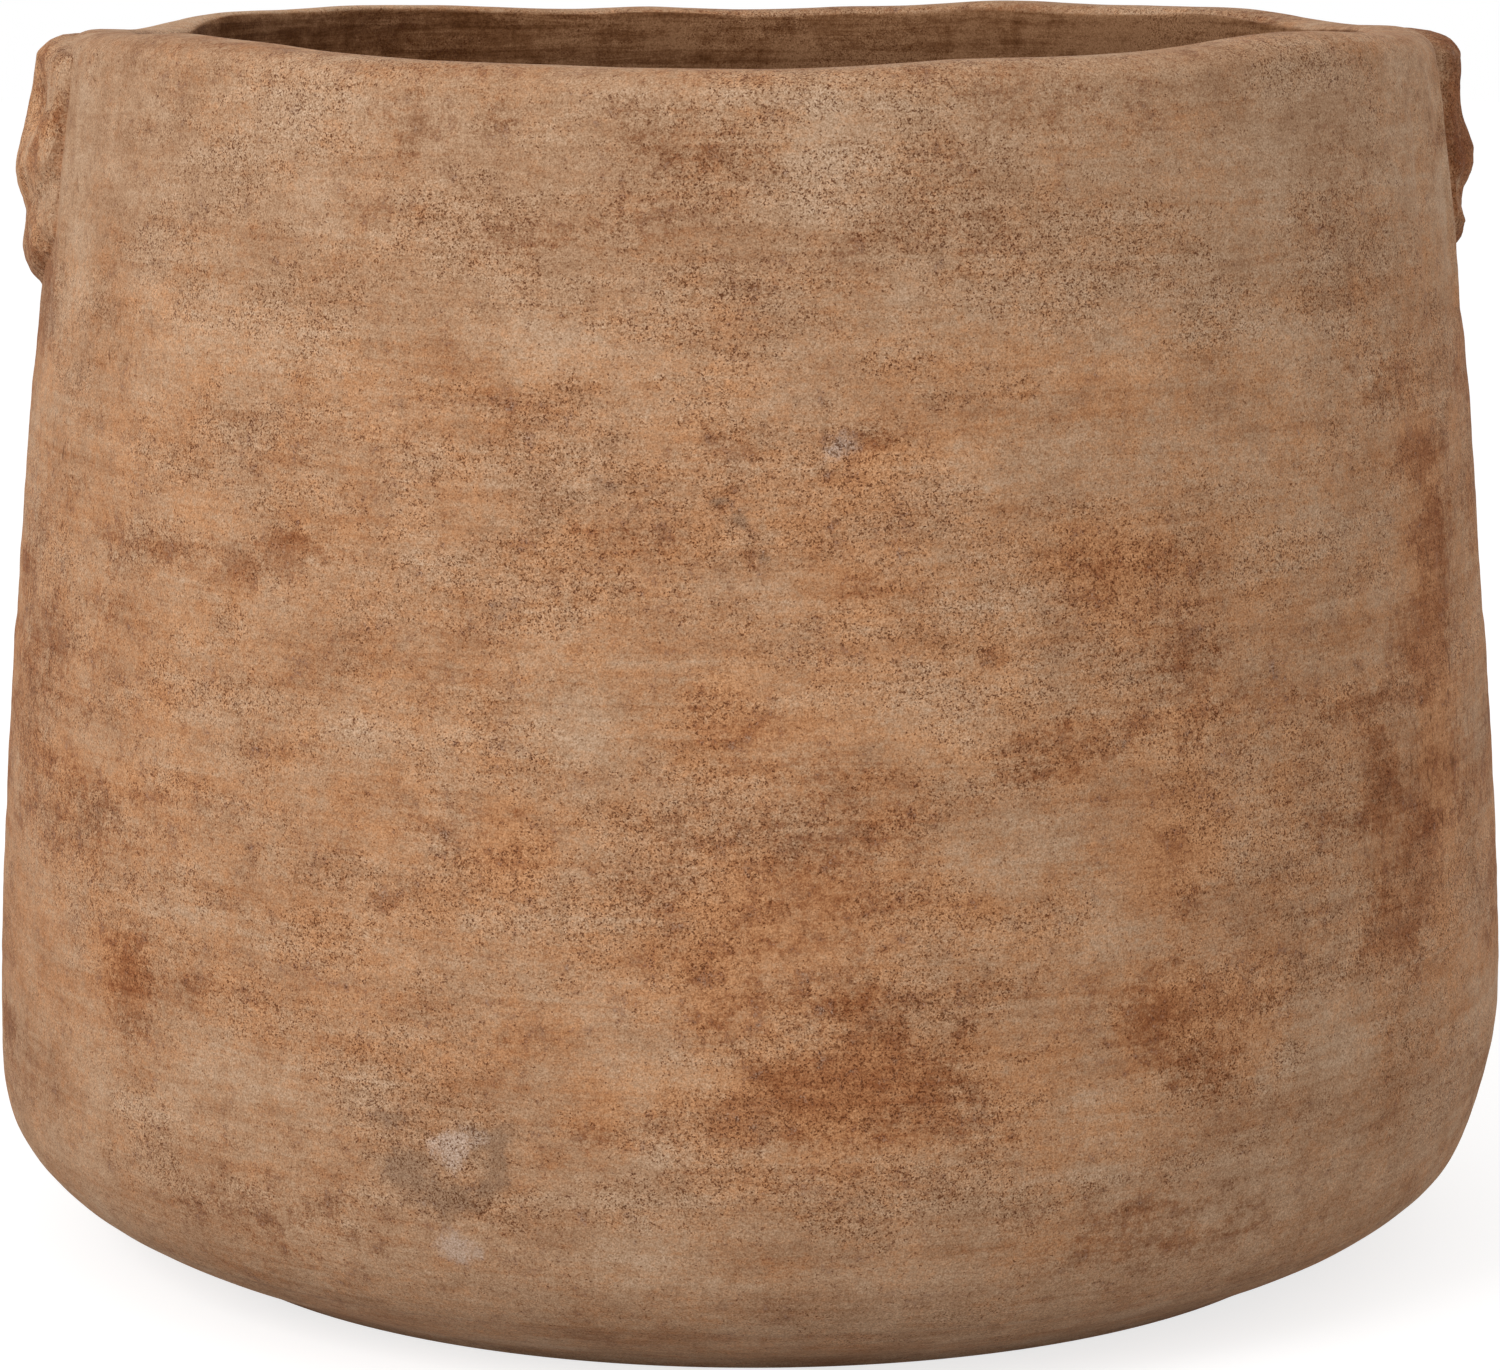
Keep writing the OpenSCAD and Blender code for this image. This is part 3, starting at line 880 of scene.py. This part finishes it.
# Clay from wiped and pale to worn and rusty, each with its place on the scale of tones
CLAY_TONES = [
    (0.0, rgb(0.62, 0.365, 0.205)), (0.3, rgb(0.54, 0.292, 0.15)), (0.55, rgb(0.44, 0.218, 0.104)),
    (0.8, rgb(0.334, 0.14, 0.058)), (1.0, rgb(0.234, 0.083, 0.03)),
]
# What greyer and redder clay does to the colour
GREYER = rgb(0.94, 1.035, 1.17)
REDDER = rgb(1.06, 0.925, 0.8)
# Painted shade in the hollows of pores, scratches and pits
HOLLOW_SHADE = rgb(0.145, 0.041, 0.007)
# What the darkest and the palest grains do to the clay's colour
DARK_GRAIN = rgb(0.54, 0.41, 0.27)
PALE_GRAIN = rgb(1.45, 1.56, 1.68)
# Damp stain, and salt
GREY_CLAY = rgb(0.3, 0.178, 0.106)
SALT_WHITE = rgb(0.58, 0.42, 0.32)
# The darker inside, on a scale of its own: darker clay with painted shade inside the pot and under the lip
INSIDE_CLAY_AND_SHADE = [
    (0.2, rgb(0.32, 0.16, 0.075)), (0.5, rgb(0.195, 0.082, 0.031)), (0.75, rgb(0.11, 0.038, 0.009)),
]
# Height of the grains of the pot, and of the coarser ones of the lugs
GRAIN_H = 0.16
LUG_GRAIN_H = 0.3


class Clay(Shader):
    """Sandy fired clay: wiped streaks, worn patches, stains, pores and grains."""

    def __init__(self, material):
        super().__init__(material)
        self.tone = self.mask("tone")
        self.rubbed = self.mask("rubbed")
        self.sand = self.grains(0.45)
        self.flecks = self.noise(2.6, 3, 0.95)
        self.crumble = self.noise(9, 4, 0.85)
        self.mottle = self.noise(34, 6, 0.85, stretch=(1.5, 1.5, 0.85))
        level = self.noise(60, 6, 0.75, stretch=(1.5, 1.5, 0.08), warp=0.8)
        plumb = self.noise(22, 5, 0.7, stretch=(0.3, 0.3, 3), warp=0.3)
        self.streak = self.blend(self.mask("upright"), level, plumb)
        bare = self.noise(52, 5, 0.7, stretch=(1.5, 1.5, 0.7))
        self.sandy = self.step(0.35, 0.65, self.total((bare, 1), (self.tone, 0.25), (self.rubbed, -0.35)))
        # Gives patches and stains their ragged edges
        self.ragged = self.total((self.crumble, 0.9), (self.flecks, 0.8), (-0.85, 1))

    def worn_colour(self):
        """Colour of the clay, where worn patches are dark and wiped ones pale."""
        worn = self.step(0.12, 0.5, self.total((self.tone, 1), (self.ragged, 1)))
        wiped = self.step(-0.1, -0.6, self.total((self.tone, 1), (self.ragged, 0.6)))
        fleck = self.step(0.1, 0.27, self.total((self.ragged, 1), (self.tone, 0.3)))
        brush = self.noise(26, 3, 0.7, stretch=(1.6, 1.6, 0.05))
        brushed = self.math("MULTIPLY", brush, self.rubbed)
        scale = self.total(
            (worn, 0.24), (wiped, -0.2), (self.tone, 0.1), (self.mottle, 0.6), (self.crumble, 0.12),
            (self.streak, 0.42), (fleck, 0.1), (brushed, 0.25), (self.rubbed, -0.12), (-0.26, 1),
        )
        return self.mix(1.0, self.ramp(scale, CLAY_TONES), self.tint(), "MULTIPLY")

    def tint(self):
        """What greyer and redder clay does to the colour."""
        hue = self.noise(24, 5, 1, stretch=(1.3, 1.3, 0.9))
        rust = self.total(
            (self.mask("warmth"), 1), (hue, 1.8), (self.streak, 0.6), (self.flecks, 0.9), (-1.65, 1),
        )
        return self.mix(self.step(-1, 1, rust), GREYER, REDDER)

    def stained(self, colour):
        """The colour with the grey stain, the salt and the darker inside, which is darker clay with painted
        shade.
        """
        for mask, stain, most in (("grey", GREY_CLAY, 0.75), ("salt", SALT_WHITE, 0.8)):
            share = self.step(0.1, 0.9, self.total((self.mask(mask), 1), (self.ragged, 0.8)), 0, most)
            colour = self.mix(share, colour, stain)
        inner = self.total(
            (self.mottle, 0.5), (self.crumble, 0.5), (self.streak, 0.8), (self.tone, 0.5), (-0.4, 1),
        )
        # Painted shade: the inside takes darker colours than its clay has, for the shade inside the pot and
        # under the lip
        return self.mix(self.mask("inside"), colour, self.ramp(inner, INSIDE_CLAY_AND_SHADE))

    def pores(self):
        """Round pores, upright scratches and the pits that lost grains leave, whose hollows get painted
        shade.
        """
        dots = self.math("MAXIMUM", self.dots(2, 0.24), self.dots(9, 0.1))
        dots = self.math("MULTIPLY", dots, self.total((self.sandy, 0.5), (0.2, 1)))
        scratch = self.noise(2, 2, 0.5, stretch=(1, 1, 4.5), warp=0.5)
        lines = self.math("MULTIPLY", self.step(0.7, 0.8, scratch, 0, 0.8), self.mask("scratched"))
        lost = self.total((self.sand, 1), (self.flecks, 0.7), (self.sandy, 0.2), (-0.42, 1))
        pits = self.step(0.8, 1.05, lost, 0, 0.75)
        return self.math("MAXIMUM", self.math("MAXIMUM", dots, lines), pits)

    def grain(self):
        """Sand grains, which show more where the clay is bare."""
        fine = self.noise(0.5, 1, 0.6)
        contrast = self.total((self.sandy, 0.4), (0.7, 1))
        return self.math("MULTIPLY", self.total((fine, 1.1), (self.sand, -0.8), (-0.15, 1)), contrast)


def clay_material(name, grain_h):
    """Material of clay whose grains have the given height in millimetres."""
    material = bpy.data.materials.new(name)
    s = Clay(material)
    pores, grain = s.pores(), s.grain()
    # Painted shade in the hollows of pores, scratches and pits
    colour = s.mix(pores, s.stained(s.worn_colour()), HOLLOW_SHADE)
    shade = s.mix(s.step(-0.8, 0.8, grain), DARK_GRAIN, PALE_GRAIN)
    colour = s.mix(1.0, colour, shade, "MULTIPLY")
    rough = s.step(0.3, 0.7, s.mottle, 0.82, 0.95)
    height = s.total((grain, 1), (pores, -1), (s.crumble, 0.7), (s.mottle, 1))
    bump = s.add("ShaderNodeBump", {"Height": height, "Strength": 0.7, "Distance": grain_h * MM}).outputs[0]
    inputs = {"Base Color": colour, "Roughness": rough, "Normal": bump, "Specular IOR Level": 0.25}
    surface = s.add("ShaderNodeBsdfPrincipled", inputs).outputs[0]
    s.add("ShaderNodeOutputMaterial", {"Surface": surface})
    return material


# Stage, light and camera

# Strength of the world's light on the pot
WORLD_LIGHT = 0.56
# Soft lamps: place in metres, power and size
LAMPS = {"key": ((-1.67, -1.78, 1.6), 33, 1.4), "fill": ((1.8, -1.7, 1.3), 5, 1.6)}
# Floor: its colour, the glow that lets the camera see it white, and its size in metres
FLOOR_COLOUR = rgb(0.5, 0.5, 0.5)
FLOOR_GLOW = 0.74
FLOOR_SIZE = 12


def white_to_camera(s):
    """1 where a ray comes from the camera, a reflection or glass."""
    path = s.add("ShaderNodeLightPath")
    seen = s.math("MAXIMUM", path.outputs["Is Camera Ray"], path.outputs["Is Glossy Ray"])
    return s.math("MAXIMUM", seen, path.outputs["Is Transmission Ray"])


def build_floor():
    """Pale floor that looks white and keeps the pot's shadow."""
    material = bpy.data.materials.new("pale_floor")
    s = Shader(material)
    matte = s.add("ShaderNodeBsdfDiffuse", {"Color": FLOOR_COLOUR}).outputs[0]
    level = s.math("MULTIPLY", white_to_camera(s), FLOOR_GLOW)
    glow = s.add("ShaderNodeEmission", {"Color": rgb(1, 1, 1), "Strength": level})
    both = s.add("ShaderNodeAddShader", {0: matte, 1: glow.outputs[0]}).outputs[0]
    s.add("ShaderNodeOutputMaterial", {"Surface": both})
    bpy.ops.mesh.primitive_plane_add(size=FLOOR_SIZE)
    floor = bpy.context.object
    floor.name = "studio_floor"
    floor.data.materials.append(material)


def build_world():
    """Surroundings that look white and light the pot evenly."""
    world = bpy.data.worlds.new("studio")
    bpy.context.scene.world = world
    s = Shader(world)
    level = s.blend(white_to_camera(s), WORLD_LIGHT, 1)
    surroundings = s.add("ShaderNodeBackground", {"Color": rgb(1, 1, 1), "Strength": level}).outputs[0]
    s.add("ShaderNodeOutputWorld", {"Surface": surroundings})


def build_lamps():
    """Soft lamps that point at the middle of the pot."""
    for name, (place, power, size) in LAMPS.items():
        data = bpy.data.lights.new(name, "AREA")
        data.energy = power
        data.size = size
        lamp = bpy.data.objects.new(name, data)
        bpy.context.collection.objects.link(lamp)
        lamp.location = place
        aim = Vector((0, 0, POT_H / 2 * MM)) - lamp.location
        lamp.rotation_euler = aim.to_track_quat("-Z", "Y").to_euler()


# Camera: distance from the pot's axis, height over the rim, pitch down in degrees, lens and sensor
CAMERA_BACK = 1600
CAMERA_OVER_RIM = 72.84
CAMERA_PITCH = 9.966
CAMERA_LENS = 121.4
CAMERA_SENSOR = 36


def build_camera():
    """Camera in front of the pot, looking slightly down."""
    data = bpy.data.cameras.new("camera")
    data.lens = CAMERA_LENS
    data.sensor_width = CAMERA_SENSOR
    camera = bpy.data.objects.new("camera", data)
    bpy.context.collection.objects.link(camera)
    camera.location = (0, -CAMERA_BACK * MM, (POT_H + CAMERA_OVER_RIM) * MM)
    camera.rotation_euler = (math.radians(90 - CAMERA_PITCH), 0, 0)
    bpy.context.scene.camera = camera


bpy.context.scene.view_settings.view_transform = "Standard"
build_camera()
build_floor()
build_world()
build_lamps()
build_pot(clay_material("body_clay", GRAIN_H), clay_material("rim_clay", GRAIN_H))
lug_clay = clay_material("lug_clay", LUG_GRAIN_H)
build_lug("left_lug", LEFT_AZIMUTH, LEFT_FOLDS, LEFT_STAIN, lug_clay)
build_lug("right_lug", RIGHT_AZIMUTH, RIGHT_FOLDS, RIGHT_STAIN_AND_SHADE, lug_clay)
